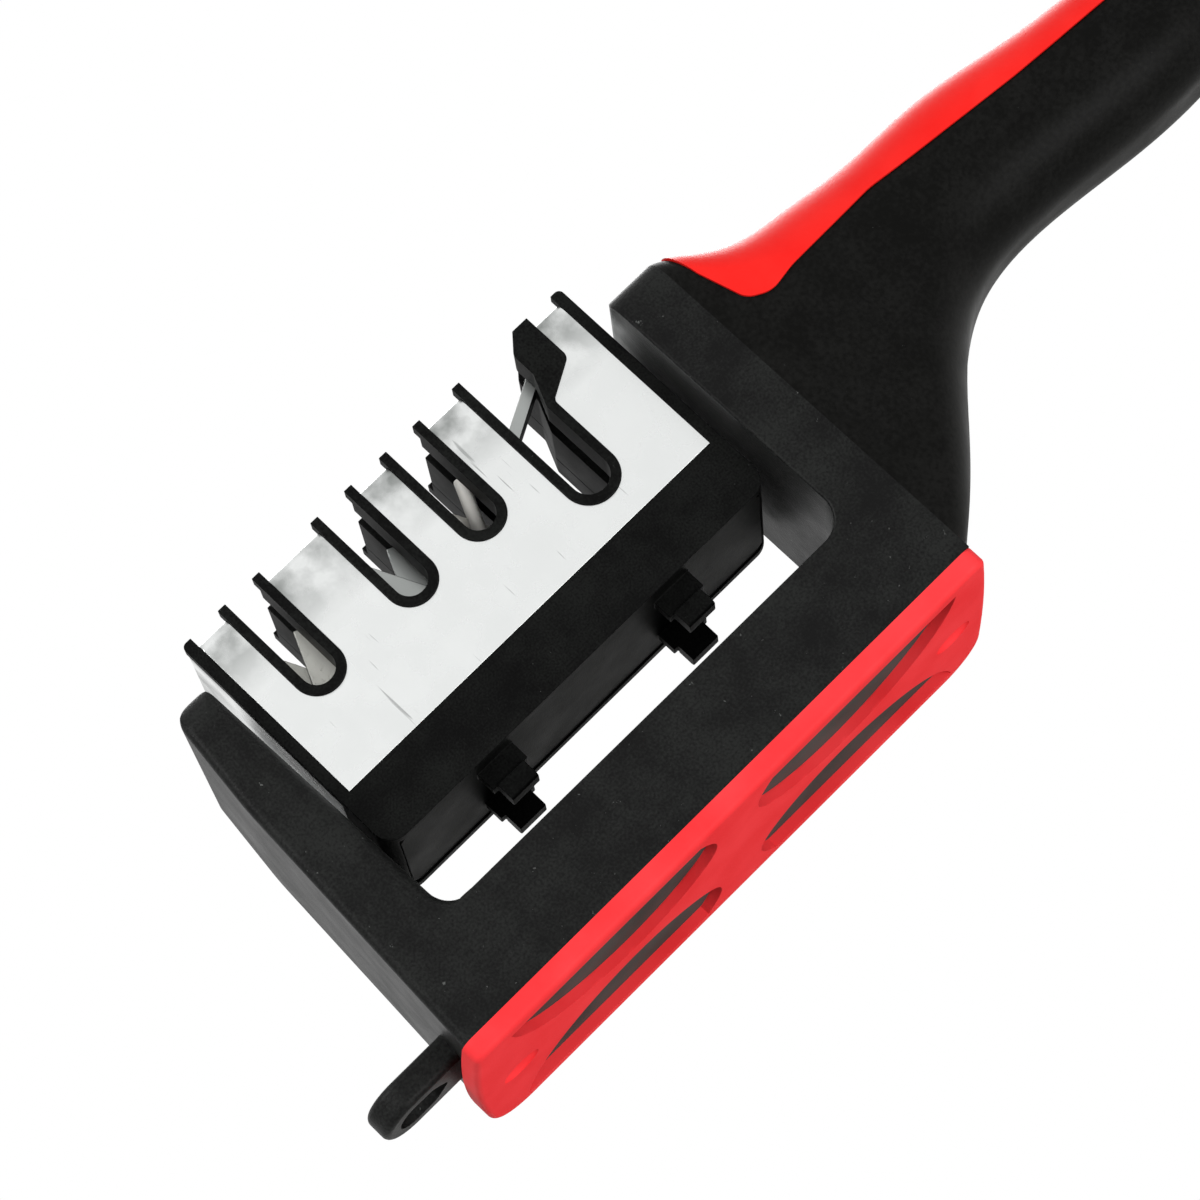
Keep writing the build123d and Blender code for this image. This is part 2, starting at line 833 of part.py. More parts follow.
grip_skin = handle_body(0, whole_share) - handle_body(grip_thickness, core_end_share)
save("front_housing", front_housing())
save("rear_housing", rear_housing())
save("housing_screws", housing_screws())
save("handle_core", handle_core())
save("handle_grip", grip_skin - strip_region())
save("handle_top_strip", grip_skin & strip_region())
save("base_shoe", base_shoe())
save("sole_mat", sole_mat())
half_carrier = carrier_half()
save("carrier_front", half_carrier)
save("carrier_rear", mirror(half_carrier, Plane.XZ))
save("steel_cover", steel_cover())
save("cartridge_base", cartridge_base())
stages = (
    ("coarse_holder", "diamond_plate", crossing_plate, (1, 0)),
    ("carbide_holder", "carbide_blade", crossing_plate, (0, 1)),
    ("ceramic_holder", "ceramic_rod", crossing_rod, (1, 0)),
)
for middle, (holder_name, element_name, element, layers) in zip(knife_middles, stages):
    save(holder_name, knife_holder(middle))
    save(element_name + "_left", element(middle, -1, layers[0]))
    save(element_name + "_right", element(middle, 1, layers[1]))
save("scissor_holder", holder(scissor_middle + shoulder_rise / 2, scissor_slot))
save("scissor_bar", scissor_bar())
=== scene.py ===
# %% [markdown]
# # A pull-through knife sharpener with a lift-out cartridge
# The sharpener has a black moulded U frame, a soft grip with a red inlay, a red sole, and a
# steel-covered cartridge with four slots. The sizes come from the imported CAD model, which is
# loaded first, so every piece made here lands in the same place in metres.

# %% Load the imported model
import json
import math
import bmesh
import bpy
from mathutils import Matrix, Vector

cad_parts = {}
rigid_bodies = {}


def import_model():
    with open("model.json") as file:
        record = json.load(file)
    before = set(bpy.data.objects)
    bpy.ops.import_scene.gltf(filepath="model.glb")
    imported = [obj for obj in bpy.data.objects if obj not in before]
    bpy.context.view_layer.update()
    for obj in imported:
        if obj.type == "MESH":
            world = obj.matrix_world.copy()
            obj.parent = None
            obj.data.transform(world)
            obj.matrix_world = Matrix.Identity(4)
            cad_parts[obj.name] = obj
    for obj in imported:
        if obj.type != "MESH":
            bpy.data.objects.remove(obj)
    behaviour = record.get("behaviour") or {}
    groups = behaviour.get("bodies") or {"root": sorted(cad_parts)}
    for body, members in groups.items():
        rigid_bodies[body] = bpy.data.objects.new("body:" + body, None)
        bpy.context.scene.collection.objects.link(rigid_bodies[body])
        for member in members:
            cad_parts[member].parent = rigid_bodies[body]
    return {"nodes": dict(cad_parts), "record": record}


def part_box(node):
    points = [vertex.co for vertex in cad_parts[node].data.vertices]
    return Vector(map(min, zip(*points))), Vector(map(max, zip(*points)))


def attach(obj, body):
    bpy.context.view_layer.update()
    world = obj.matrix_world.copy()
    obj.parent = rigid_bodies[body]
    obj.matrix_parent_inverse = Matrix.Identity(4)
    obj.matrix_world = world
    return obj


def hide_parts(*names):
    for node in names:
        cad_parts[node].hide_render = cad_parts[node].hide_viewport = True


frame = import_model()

nodes = frame["nodes"]
scene = bpy.context.scene
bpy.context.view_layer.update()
body_of_node = {node: body for body, members in frame["record"]["behaviour"]["bodies"].items()
                for node in members}
slot_of_node = {row["node"]: row["material_slot"] for row in frame["record"]["subparts"]}
MM = 0.001

# %% [markdown]
# ## The camera
# The photograph was taken from the front left and a little below the sole, with the tool
# tilted by about 47 degrees. A long lens keeps the perspective weak. The camera is turned
# about its own axis instead of tilting the tool, so that the part stays upright.

# %% Place the camera
CAMERA_PLACE = Vector((-0.1195, -0.6738, -0.1390))
CAMERA_TARGET = Vector((0.0139, 0.0, 0.0446))
CAMERA_ROLL = math.radians(-47.05)
PHOTO_WIDTH = 1200
FOCAL_PIXELS = 4456
SENSOR_WIDTH = 36

camera = bpy.data.objects.new("camera", bpy.data.cameras.new("camera"))
scene.collection.objects.link(camera)
scene.camera = camera
camera.data.sensor_fit = "HORIZONTAL"
camera.data.sensor_width = SENSOR_WIDTH
camera.data.lens = FOCAL_PIXELS / PHOTO_WIDTH * SENSOR_WIDTH
forward = (CAMERA_TARGET - CAMERA_PLACE).normalized()
level_right = forward.cross(Vector((0, 0, 1))).normalized()
level_up = level_right.cross(forward)
right = level_right * math.cos(CAMERA_ROLL) + level_up * math.sin(CAMERA_ROLL)
up = -level_right * math.sin(CAMERA_ROLL) + level_up * math.cos(CAMERA_ROLL)
turn = Matrix((right, up, -forward)).transposed().to_4x4()
turn.translation = CAMERA_PLACE
camera.matrix_world = turn
print("camera looks along", tuple(round(v, 3) for v in forward))

# %% [markdown]
# ## Colour and node helpers
# Colours are written as they are seen, as sRGB hex values, and one function turns them to the
# linear values that the shaders need. One more adds a node with its settings and its links,
# so that a material reads as a list of steps.

# %% Write the helpers
def linear(hex_value):
    """An sRGB colour such as '#ff3322' as linear red, green, blue and alpha."""
    parts = [int(hex_value[place:place + 2], 16) / 255 for place in (1, 3, 5)]
    return tuple(v / 12.92 if v <= 0.04045 else ((v + 0.055) / 1.055) ** 2.4 for v in parts) + (1,)


def add_node(tree, kind, inputs=None, **settings):
    """Add a node; an input's value is a constant, or an output socket to link."""
    node = tree.nodes.new(kind)
    for name, value in settings.items():
        setattr(node, name, value)
    for key, value in (inputs or {}).items():
        if isinstance(value, bpy.types.NodeSocket):
            tree.links.new(value, node.inputs[key])
        else:
            node.inputs[key].default_value = value
    return node


def start_material(name, **shader):
    """A new material with a Principled shader; names of its sockets use _ for a space."""
    material = bpy.data.materials.new(name)
    material.use_nodes = True
    tree = material.node_tree
    principled = tree.nodes["Principled BSDF"]
    for key, value in shader.items():
        principled.inputs[key.replace("_", " ")].default_value = value
    place = add_node(tree, "ShaderNodeTexCoord").outputs["Object"]
    return material, tree, principled, place


def two_tones(tree, factor, low, low_colour, high, high_colour):
    """A colour that runs from one tone to another between two values of factor."""
    tone = add_node(tree, "ShaderNodeValToRGB", {"Fac": factor})
    for stop, place, colour in zip(tone.color_ramp.elements, (low, high),
                                   (low_colour, high_colour)):
        stop.position = place
        stop.color = linear(colour)
    return tone.outputs["Color"]


def noise(tree, place, grain_mm, detail, roughness=0.5):
    """Noise whose features are about grain_mm across."""
    return add_node(tree, "ShaderNodeTexNoise", {"Vector": place, "Scale": 1 / (grain_mm * MM),
                    "Detail": detail, "Roughness": roughness}).outputs["Fac"]


def spread_gloss(tree, factor, lowest, highest):
    """Roughness that follows the middle range of a noise."""
    return add_node(tree, "ShaderNodeMapRange", {
        "Value": factor, "From Min": NOISE_LOW, "From Max": NOISE_HIGH,
        "To Min": lowest, "To Max": highest}).outputs["Result"]


def wire(tree, principled, colour, gloss, bump):
    """Link the finished colour, roughness and bump to the shader."""
    tree.links.new(colour, principled.inputs["Base Color"])
    tree.links.new(gloss, principled.inputs["Roughness"])
    tree.links.new(bump.outputs["Normal"], principled.inputs["Normal"])


NOISE_LOW = 0.3
NOISE_HIGH = 0.7
PLASTIC_IOR = 1.5
materials = {}

# %% [markdown]
# ## Moulded black ABS
# The frame is injection moulded ABS. The mould's surface is spark eroded, which leaves a fine
# even grain of about 0.2 mm and a satin gloss. Handling leaves pale specks and faint rubs.
# Grain comes from noise, and the specks from the high end of a coarser noise.

# %% Make the moulded black plastics
HANDLING_CLOUD_MM = 9
SPECK_MM = 1.3
SPECK_FADE = 0.05
SPECK_COVER = 0.55
SPECK_COLOUR = "#6a6c6a"
MOTTLE_LOW = 0.17
MOTTLE_HIGH = 0.36
PLASTIC_GLOSS_SPREAD = 0.06


def black_plastic(name, dark, pale, grain_mm, grain_depth, roughness, specks, shine):
    """Black moulded plastic: grain as bump and mottle, cloudy gloss, and sparse pale specks."""
    material, tree, principled, place = start_material(
        name, IOR=PLASTIC_IOR, Specular_IOR_Level=shine)
    cloud = noise(tree, place, HANDLING_CLOUD_MM, 6.0, 0.6)
    fine = noise(tree, place, grain_mm, 2.0)
    dust = noise(tree, place, SPECK_MM, 3.0, 0.75)
    mottle = add_node(tree, "ShaderNodeMath", {0: cloud, 1: fine}, operation="MULTIPLY")
    tone = two_tones(tree, mottle.outputs["Value"], MOTTLE_LOW, dark, MOTTLE_HIGH, pale)
    speck = add_node(tree, "ShaderNodeMapRange",
                     {"Value": dust, "From Min": specks, "From Max": specks + SPECK_FADE,
                      "To Max": SPECK_COVER})
    colour = add_node(tree, "ShaderNodeMix", {"Factor": speck.outputs["Result"],
                      6: tone, 7: linear(SPECK_COLOUR)}, data_type="RGBA")
    gloss = spread_gloss(tree, cloud, roughness - PLASTIC_GLOSS_SPREAD,
                         roughness + PLASTIC_GLOSS_SPREAD)
    bump = add_node(tree, "ShaderNodeBump",
                    {"Height": fine, "Strength": 0.6, "Distance": grain_depth * MM})
    wire(tree, principled, colour.outputs[2], gloss, bump)
    return material


materials["black_abs"] = black_plastic(
    "moulded_black_abs", "#0d0d0d", "#1d1e1d", 0.45, 0.10, 0.44, 0.70, 0.09)
materials["cartridge_abs"] = black_plastic(
    "moulded_cartridge_abs", "#0a0a0a", "#171817", 0.35, 0.04, 0.50, 0.74, 0.03)
materials["black_soft_grip"] = black_plastic(
    "black_thermoplastic_rubber", "#090908", "#131312", 0.8, 0.02, 0.44, 0.75, 0.05)
print("black plastics:", [m.name for m in materials.values()])

# %% [markdown]
# ## Red and grey rubbers
# The inlay and the sole are thermoplastic rubber moulded over or pressed on the plastic. Its
# colour is dense, the surface is a little soft to light, and the sole is matt. The mat under
# the sole is a dark grey rubber with a slightly rough skin.

# %% Make the rubbers
COLOUR_CLOUD_MM = 14
CLOUD_LOW = 0.35
CLOUD_HIGH = 0.65
RUBBER_SHINE = 0.12
RUBBER_GLOSS_SPREAD = 0.05


def rubber(name, deep, bright, roughness, grain_mm, grain_depth):
    """A coloured rubber: two close tones and a fine skin."""
    material, tree, principled, place = start_material(
        name, IOR=PLASTIC_IOR, Specular_IOR_Level=RUBBER_SHINE)
    cloud = noise(tree, place, COLOUR_CLOUD_MM, 5.0, 0.55)
    skin = noise(tree, place, grain_mm, 3.0)
    tone = two_tones(tree, cloud, CLOUD_LOW, deep, CLOUD_HIGH, bright)
    gloss = spread_gloss(tree, skin, roughness - RUBBER_GLOSS_SPREAD,
                         roughness + RUBBER_GLOSS_SPREAD)
    bump = add_node(tree, "ShaderNodeBump",
                    {"Height": skin, "Strength": 0.25, "Distance": grain_depth * MM})
    wire(tree, principled, tone, gloss, bump)
    return material


materials["red_soft_inlay"] = rubber(
    "red_thermoplastic_rubber", "#ea1d19", "#f22722", 0.42, 0.6, 0.02)
materials["red_sole"] = rubber("red_sole_rubber", "#ec3034", "#f43c40", 0.62, 0.4, 0.05)
materials["grey_mat"] = rubber(
    "dark_grey_mat_rubber", "#43423f", "#504f4c", 0.7, 0.3, 0.05)
print("rubbers ready")

# %% [markdown]
# ## Folded stainless sheet
# The cartridge's cover is thin stainless sheet. Rolling leaves very fine lines along its
# length, and folding and handling leave stray scratches. Noise that is stretched along X
# gives the rolling lines, and a second noise in a turned, stretched frame gives scratches.
# A painted dark reflection, in grey patches near the top edge, grows in with height.

# %% Make the metals
# Painted dark reflection on the steel: grey patches mixed into its colour from this height up.
STEEL_PAINTED_REFLECTION_HEIGHT = 68 * MM
PAINTED_REFLECTION_RISE = 11 * MM
NO_PAINTED_REFLECTION_HEIGHT = 1.0
PAINTED_REFLECTION_COLOUR = "#8a8d8b"
PAINTED_REFLECTION_LOW = 0.35
PAINTED_REFLECTION_HIGH = 0.62
LINE_STRETCH = 0.04
SCRATCH_STRETCH = 0.06
SCRATCH_TURN = 0.6
SCRATCH_MM = 1.1
SCRATCH_FADE = 0.03
METAL_CLOUD_MM = 7


def metal(name, colour, dull, roughness, line_mm, line_depth, scratch_share,
          painted_reflection_from=NO_PAINTED_REFLECTION_HEIGHT):
    """A metal with drawn lines along X, sparse scratches, and painted dark reflection above a
    height in metres.
    """
    material, tree, principled, place = start_material(name, Metallic=1.0)
    drawn = add_node(tree, "ShaderNodeMapping",
                     {"Vector": place, "Scale": (LINE_STRETCH, 1.0, 1.0)})
    lines = noise(tree, drawn.outputs["Vector"], line_mm, 3.0)
    slant = add_node(tree, "ShaderNodeMapping",
                     {"Vector": place, "Scale": (1.0, 1.0, SCRATCH_STRETCH),
                      "Rotation": (0.0, SCRATCH_TURN, 0.0)})
    stray = noise(tree, slant.outputs["Vector"], SCRATCH_MM, 2.0)
    scratch = add_node(tree, "ShaderNodeMapRange", {"Value": stray,
                       "From Min": scratch_share, "From Max": scratch_share + SCRATCH_FADE})
    cloud = noise(tree, place, METAL_CLOUD_MM, 4.0)
    gloss = spread_gloss(tree, cloud, roughness - 0.03, roughness + 0.05)
    tone = add_node(tree, "ShaderNodeMix", {"Factor": scratch.outputs["Result"],
                    6: linear(colour), 7: linear(dull)}, data_type="RGBA")
    place_parts = add_node(tree, "ShaderNodeSeparateXYZ", {"Vector": place})
    # Painted dark reflection: grey patches that grow in with height, mixed into the colour.
    rise = add_node(tree, "ShaderNodeMapRange", {"Value": place_parts.outputs["Z"],
                    "From Min": painted_reflection_from, "From Max": painted_reflection_from + PAINTED_REFLECTION_RISE})
    reflection_patch = add_node(tree, "ShaderNodeMapRange", {"Value": cloud,
                     "From Min": PAINTED_REFLECTION_LOW, "From Max": PAINTED_REFLECTION_HIGH})
    painted_reflection = add_node(tree, "ShaderNodeMath", {0: rise.outputs["Result"],
                      1: reflection_patch.outputs["Result"]}, operation="MULTIPLY")
    tone = add_node(tree, "ShaderNodeMix", {"Factor": painted_reflection.outputs["Value"],
                    6: tone.outputs[2], 7: linear(PAINTED_REFLECTION_COLOUR)}, data_type="RGBA")
    height = add_node(tree, "ShaderNodeMath", {0: lines, 1: scratch.outputs["Result"]},
                      operation="SUBTRACT")
    bump = add_node(tree, "ShaderNodeBump", {"Height": height.outputs["Value"], "Strength": 0.2,
                    "Distance": line_depth * MM})
    wire(tree, principled, tone.outputs[2], gloss, bump)
    return material


materials["stainless_sheet"] = metal(
    "rolled_stainless_sheet", "#e4e6e5", "#b4b6b5", 0.26, 0.12, 0.006, 0.71,
    STEEL_PAINTED_REFLECTION_HEIGHT)
materials["screw_steel"] = metal(
    "zinc_plated_steel", "#b9bcc0", "#8c8f92", 0.30, 0.4, 0.01, 0.74)
materials["diamond_steel"] = metal(
    "steel_with_diamond_grit", "#b8b8b2", "#8f8f8a", 0.42, 0.15, 0.03, 0.66)
materials["carbide"] = metal(
    "ground_tungsten_carbide", "#a5a8a6", "#7c7f7d", 0.30, 0.2, 0.015, 0.72)
materials["white_ceramic"] = rubber(
    "white_sintered_ceramic", "#e8e6df", "#f0eee8", 0.35, 0.2, 0.01)
print("metals ready")

# %% [markdown]
# ## Dressing a CAD piece
# A CAD solid arrives as loose triangles with knife-sharp edges, and nothing moulded or folded
# is that sharp. A copy is merged, its flat triangles are joined into whole faces, and a small
# bevel breaks each edge, so that edges catch the light as they do on the real piece. Normals
# are weighted by area after that, so that a broad flat face still shades as flat.

# %% Write the dressing helper
def finish_piece(name, mesh, body, slot_name, replaced=()):
    """Link a mesh as a piece that moves with its body and takes its slot's material."""
    mesh.materials.clear()
    mesh.materials.append(materials[slot_name])
    piece = bpy.data.objects.new(name, mesh)
    scene.collection.objects.link(piece)
    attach(piece, body)
    if replaced:
        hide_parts(*replaced)
    return piece


def apply_modifiers(piece):
    """Swap a piece's mesh for what its modifiers make of it, as a plain mesh."""
    bpy.context.view_layer.update()
    shown = piece.evaluated_get(bpy.context.evaluated_depsgraph_get())
    result = bpy.data.meshes.new_from_object(shown)
    piece.modifiers.clear()
    piece.data = result
    return result


MERGE = 2e-6
FLAT_ANGLE = math.radians(0.15)
EDGE_ANGLE = math.radians(28)
SHARP_ANGLE = math.radians(35)
CURVED_SKIN_FACES = 10000


def merged_copy(node):
    """A CAD node's mesh as whole faces instead of loose triangles."""
    mesh = nodes[node].data.copy()
    shape = bmesh.new()
    shape.from_mesh(mesh)
    bmesh.ops.remove_doubles(shape, verts=shape.verts, dist=MERGE)
    if len(shape.faces) < CURVED_SKIN_FACES:
        bmesh.ops.dissolve_limit(shape, angle_limit=FLAT_ANGLE,
                                 verts=shape.verts, edges=shape.edges)
    shape.to_mesh(mesh)
    shape.free()
    return mesh


def dress(node, bevel_mm, segments=2):
    """Replace a CAD node with a copy whose sharp edges are broken by bevel_mm."""
    mesh = merged_copy(node)
    piece = bpy.data.objects.new(node + "_dressed", mesh)
    scene.collection.objects.link(piece)
    if bevel_mm:
        bevel = piece.modifiers.new("broken edges", "BEVEL")
        bevel.width = bevel_mm * MM
        bevel.segments = segments
        bevel.limit_method = "ANGLE"
        bevel.angle_limit = EDGE_ANGLE
        bevel.use_clamp_overlap = True
        apply_modifiers(piece)
    piece.data.shade_smooth()
    piece.data.set_sharp_from_angle(angle=SHARP_ANGLE)
    if bevel_mm:
        piece.modifiers.new("flat faces stay flat", "WEIGHTED_NORMAL").keep_sharp = True
        apply_modifiers(piece)
    mesh = piece.data
    bpy.data.objects.remove(piece)
    piece = finish_piece(node + "_dressed", mesh, body_of_node[node], slot_of_node[node], (node,))
    print(piece.name, len(mesh.polygons), "faces")
    return piece


# %% [markdown]
# ## The black shells, the sole and the cartridge
# Each moulded half gets the edge break that its tool would give it: wide on the frame, narrow
# on the cartridge, and a hair's width on the thin sheet.

# %% Dress the pieces
BEVELS = {
    "front_housing": 0.35, "rear_housing": 0.35, "handle_grip": 0, "handle_top_strip": 0,
    "base_shoe": 0.3, "sole_mat": 0.2, "carrier_front": 0.2, "carrier_rear": 0.2,
    "steel_cover": 0.08, "cartridge_base": 0.2, "coarse_holder": 0.2, "carbide_holder": 0.2,
    "ceramic_holder": 0.2, "scissor_holder": 0.2, "scissor_bar": 0.12,
    "diamond_plate_left": 0.12, "diamond_plate_right": 0.12,
    "carbide_blade_left": 0.12, "carbide_blade_right": 0.12,
}
for node, width in BEVELS.items():
    dress(node, width)

# %% [markdown]
# ## The raised red inlay
# The inlay is moulded in a second shot and stands a little proud of the grip, so that a dark
# step runs under its edge. Its outer skin is pushed out along its own normals; the walls that
# meet the grip stay where they are.

# %% Raise the inlay
INLAY_PROUD = 0.4 * MM
AXIS_DROP_SHARE = 0.15
SKIN_FACING = 0.62
inlay = bpy.data.objects["handle_top_strip_dressed"]
low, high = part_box("handle_top_strip")
axis_height = low[2] - AXIS_DROP_SHARE * (high[2] - low[2])
shape = bmesh.new()
shape.from_mesh(inlay.data)
shape.normal_update()
moved = []
for point in shape.verts:
    outward = Vector((0, point.co.y, point.co.z - axis_height)).normalized()
    skin = [face.normal for face in point.link_faces
            if face.normal.dot(outward) > SKIN_FACING]
    if skin:
        moved.append((point, sum(skin, Vector()).normalized()))
for point, direction in moved:
    point.co += direction * INLAY_PROUD
shape.to_mesh(inlay.data)
shape.free()
print("inlay points moved:", len(moved))

# %% [markdown]
# ## Screws in the back
# Six self-tapping screws close the housing. They are alike, so one screw is modelled, and a
# Geometry Nodes tree puts a copy on each point of a small cloud. The head is domed, and its
# cross recess is pressed down from a star of points that match the rim one to one.

# %% Model one screw
HEAD_RADIUS = 2.3 * MM
HEAD_HEIGHT = 1.4 * MM
SHANK_RADIUS = 1.1 * MM
SHANK_LENGTH = 14.0 * MM
TIP_LENGTH = 2.0 * MM
TIP_SHARE = 0.4
THREAD_TURNS = 8
THREAD_PITCH = 1.2 * MM
THREAD_CREST = 0.3 * MM
THREAD_ROOT_SHARE = 0.8
DOME_SHARES = ((1.0, 0.5), (0.93, 0.8), (0.75, 1.0))
HEAD_SHARP_ANGLE = math.radians(40)
RIM_POINTS = 24
CROSS_REACH = 1.3 * MM
CROSS_HALF = 0.3 * MM
CROSS_DEPTH = 0.8 * MM
TINY = 1e-6


def cross_point(turn_angle):
    """The edge of a cross, met by a ray from its middle."""
    ray = Vector((abs(math.cos(turn_angle)), abs(math.sin(turn_angle))))
    long_side, short_side = max(ray), min(ray)
    reach = min(CROSS_REACH / long_side, CROSS_HALF / max(short_side, TINY))
    return reach * math.cos(turn_angle), reach * math.sin(turn_angle)


def screw_mesh():
    """A screw along Y: domed head from Y zero up, cross recess, threaded shank."""
    shape = bmesh.new()
    thread_start = -SHANK_LENGTH + TIP_LENGTH
    profile = [(SHANK_RADIUS * TIP_SHARE, -SHANK_LENGTH), (SHANK_RADIUS, thread_start)]
    for turn_count in range(1, THREAD_TURNS + 1):
        along = thread_start + turn_count * THREAD_PITCH
        profile += [(SHANK_RADIUS, along - THREAD_CREST),
                    (SHANK_RADIUS * THREAD_ROOT_SHARE, along)]
    profile += [(SHANK_RADIUS, 0), (HEAD_RADIUS, 0)]
    profile += [(HEAD_RADIUS * wide, HEAD_HEIGHT * high) for wide, high in DOME_SHARES]
    angles = [2 * math.pi * (step + 0.5) / RIM_POINTS for step in range(RIM_POINTS)]
    rings = [[shape.verts.new((r * math.cos(a), y, r * math.sin(a))) for a in angles]
             for r, y in profile]
    for height in (HEAD_HEIGHT, HEAD_HEIGHT - CROSS_DEPTH):
        rings.append([shape.verts.new((cross_point(a)[0], height, cross_point(a)[1]))
                      for a in angles])
    for lower, upper in zip(rings, rings[1:]):
        for step in range(RIM_POINTS):
            after = (step + 1) % RIM_POINTS
            shape.faces.new((lower[step], upper[step], upper[after], lower[after]))
    shape.faces.new(rings[0])
    shape.faces.new(reversed(rings[-1]))
    bmesh.ops.recalc_face_normals(shape, faces=shape.faces)
    mesh = bpy.data.meshes.new("one_screw")
    shape.to_mesh(mesh)
    shape.free()
    mesh.shade_smooth()
    mesh.set_sharp_from_angle(angle=HEAD_SHARP_ANGLE)
    return mesh


# %% [markdown]
# ## Geometry Nodes helpers
# What repeats is set by small Geometry Nodes trees. One helper starts a tree with named
# inputs, and the other puts it on a piece and fills the inputs in by their names.

# %% Write the Geometry Nodes helpers
def modifier_with_tree(piece, tree, values):
    """Add a Geometry Nodes modifier and set its inputs by the sockets' identifiers."""
    modifier = piece.modifiers.new(tree.name, "NODES")
    modifier.node_group = tree
    for item in tree.interface.items_tree:
        if item.item_type == "SOCKET" and item.in_out == "INPUT" and item.name in values:
            modifier[item.identifier] = values[item.name]
    return modifier


def start_tree(name, sockets):
    """A Geometry Nodes tree with a geometry input, named inputs and a geometry output."""
    tree = bpy.data.node_groups.new(name, "GeometryNodeTree")
    tree.interface.new_socket("Geometry", in_out="INPUT", socket_type="NodeSocketGeometry")
    for socket_name, socket_type in sockets:
        tree.interface.new_socket(socket_name, in_out="INPUT", socket_type=socket_type)
    tree.interface.new_socket("Geometry", in_out="OUTPUT", socket_type="NodeSocketGeometry")
    return tree, add_node(tree, "NodeGroupInput"), add_node(tree, "NodeGroupOutput")


# %% [markdown]
# ## Copies on points
# Points go in, and a real copy of one piece stands on each of them. The copies are made
# real before they take their material, so that they can be exported as a plain mesh.

# %% Build the copying tree
tree, given, result = start_tree("copies_on_points", [
    ("Copied piece", "NodeSocketObject"), ("Size", "NodeSocketFloat"),
    ("Finish", "NodeSocketMaterial")])
source = add_node(tree, "GeometryNodeObjectInfo", {"Object": given.outputs["Copied piece"]})
placed = add_node(tree, "GeometryNodeInstanceOnPoints", {
    "Points": given.outputs["Geometry"], "Instance": source.outputs["Geometry"],
    "Scale": given.outputs["Size"]})
real = add_node(tree, "GeometryNodeRealizeInstances", {"Geometry": placed.outputs["Instances"]})
painted = add_node(tree, "GeometryNodeSetMaterial", {
    "Geometry": real.outputs["Geometry"], "Material": given.outputs["Finish"]})
tree.links.new(painted.outputs["Geometry"], result.inputs["Geometry"])
print("copying tree nodes:", len(tree.nodes))

# %% [markdown]
# ## Where the screws sit
# Three screws stand above the sole, one in the left post and two in the right post. The CAD
# node holds all six, so its mesh is split where nothing joins it, and the middle of each
# part is a seat. Screws sit a little below the surface, as deep as the CAD screws do.

# %% Set the six screws
def seats_of_parts(node):
    """For each separate part of a node: its middle in X and Z, HEAD_HEIGHT below its back."""
    shape = bmesh.new()
    shape.from_mesh(nodes[node].data)
    bmesh.ops.remove_doubles(shape, verts=shape.verts, dist=MERGE)
    left, seats = set(shape.verts), []
    while left:
        part, edge_of_part = set(), [left.pop()]
        while edge_of_part:
            point = edge_of_part.pop()
            part.add(point)
            near = {edge.other_vert(point) for edge in point.link_edges} & left
            left -= near
            edge_of_part += near
        x, y, z = zip(*[point.co for point in part])
        seats.append(((min(x) + max(x)) / 2, max(y) - HEAD_HEIGHT, (min(z) + max(z)) / 2))
    shape.free()
    return sorted(seats)


seats = seats_of_parts("housing_screws")
print("screw seats in mm:", [tuple(round(v / MM, 3) for v in seat) for seat in seats])
one_screw = bpy.data.objects.new("one_screw", screw_mesh())
scene.collection.objects.link(one_screw)
cloud_mesh = bpy.data.meshes.new("screw_points")
cloud_mesh.from_pydata(seats, [], [])
cloud = bpy.data.objects.new("screw_points", cloud_mesh)
scene.collection.objects.link(cloud)
modifier_with_tree(cloud, tree, {"Copied piece": one_screw, "Size": 1.0,
                                 "Finish": materials["screw_steel"]})
screws = apply_modifiers(cloud)
bpy.data.objects.remove(cloud)
bpy.data.objects.remove(one_screw)
finish_piece("housing_screws_set", screws, "frame", "screw_steel", ("housing_screws",))
print("screws:", len(seats), "faces:", len(screws.polygons))

# %% [markdown]
# ## Diamond grit
# The first slot's plates are steel with diamond grit bonded on. Grains are scattered over a
# plate's faces from a fixed seed. Real grit is 0.05 mm, too fine to show, so the grains here
# are 0.16 mm across, and each is a plain ball of 20 faces, because there are many.

# %% Scatter the grit
GRAIN_RADIUS = 0.08 * MM
GRAINS_PER_SQUARE_MM = 6
SMALLEST_GRAIN = (0.5, 0.5, 0.5)
LARGEST_GRAIN = (1.1, 1.1, 1.1)
bpy.ops.mesh.primitive_ico_sphere_add(subdivisions=1, radius=GRAIN_RADIUS)
one_grain = bpy.context.object
tree, given, result = start_tree("bonded_grit", [
    ("Grain", "NodeSocketObject"), ("Grains per area", "NodeSocketFloat"),
    ("Seed", "NodeSocketInt"), ("Finish", "NodeSocketMaterial")])
spread = add_node(tree, "GeometryNodeDistributePointsOnFaces", {
    "Mesh": given.outputs["Geometry"], "Density": given.outputs["Grains per area"],
    "Seed": given.outputs["Seed"]})
source = add_node(tree, "GeometryNodeObjectInfo", {"Object": given.outputs["Grain"]})
size = add_node(tree, "FunctionNodeRandomValue", {
    "Min": SMALLEST_GRAIN, "Max": LARGEST_GRAIN, "Seed": given.outputs["Seed"]},
    data_type="FLOAT_VECTOR")
placed = add_node(tree, "GeometryNodeInstanceOnPoints", {
    "Points": spread.outputs["Points"], "Instance": source.outputs["Geometry"],
    "Rotation": spread.outputs["Rotation"], "Scale": size.outputs["Value"]})
joined = add_node(tree, "GeometryNodeJoinGeometry")
tree.links.new(placed.outputs["Instances"], joined.inputs["Geometry"])
tree.links.new(given.outputs["Geometry"], joined.inputs["Geometry"])
real = add_node(tree, "GeometryNodeRealizeInstances", {"Geometry": joined.outputs["Geometry"]})
painted = add_node(tree, "GeometryNodeSetMaterial", {
    "Geometry": real.outputs["Geometry"], "Material": given.outputs["Finish"]})
tree.links.new(painted.outputs["Geometry"], result.inputs["Geometry"])
